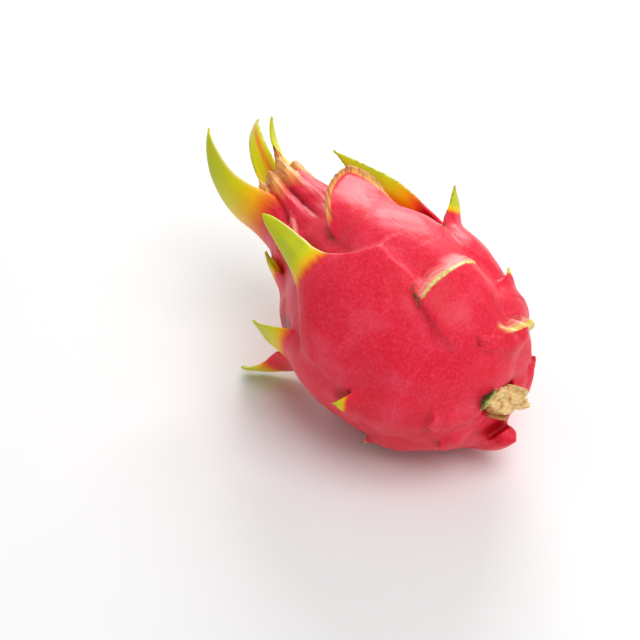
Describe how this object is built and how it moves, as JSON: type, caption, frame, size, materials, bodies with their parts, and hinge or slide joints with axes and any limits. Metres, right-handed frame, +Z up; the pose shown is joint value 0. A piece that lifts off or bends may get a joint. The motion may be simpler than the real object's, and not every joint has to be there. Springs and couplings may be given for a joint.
{
  "type": "dragon fruit",
  "caption": "Whole dragon fruit lying on its side: waxy round body with broad leafy scales, an open crown tube holding the withered flower, and a cut stem stub",
  "frame": {"origin": "On the surface the fruit lies on, under the middle of its bounding box", "axes": "+Z up, the fruit's long axis along X with the crown towards -X and the stem towards +X, raised 8 degrees towards the crown"},
  "size_m": [0.1872, 0.097, 0.0889],
  "materials": {
    "skin": "waxy satin, red to salmon pink, scale ends lime green with orange bases",
    "stem_wood": "matte, freshly cut, cream and tan",
    "dried_flower": "matte, dry and wrinkled, tan to dark brown"
  },
  "bodies": {
    "root": {"fruit": "skin", "cut_stem": "stem_wood", "withered_flower": "dried_flower"}
  },
  "joints": []
}
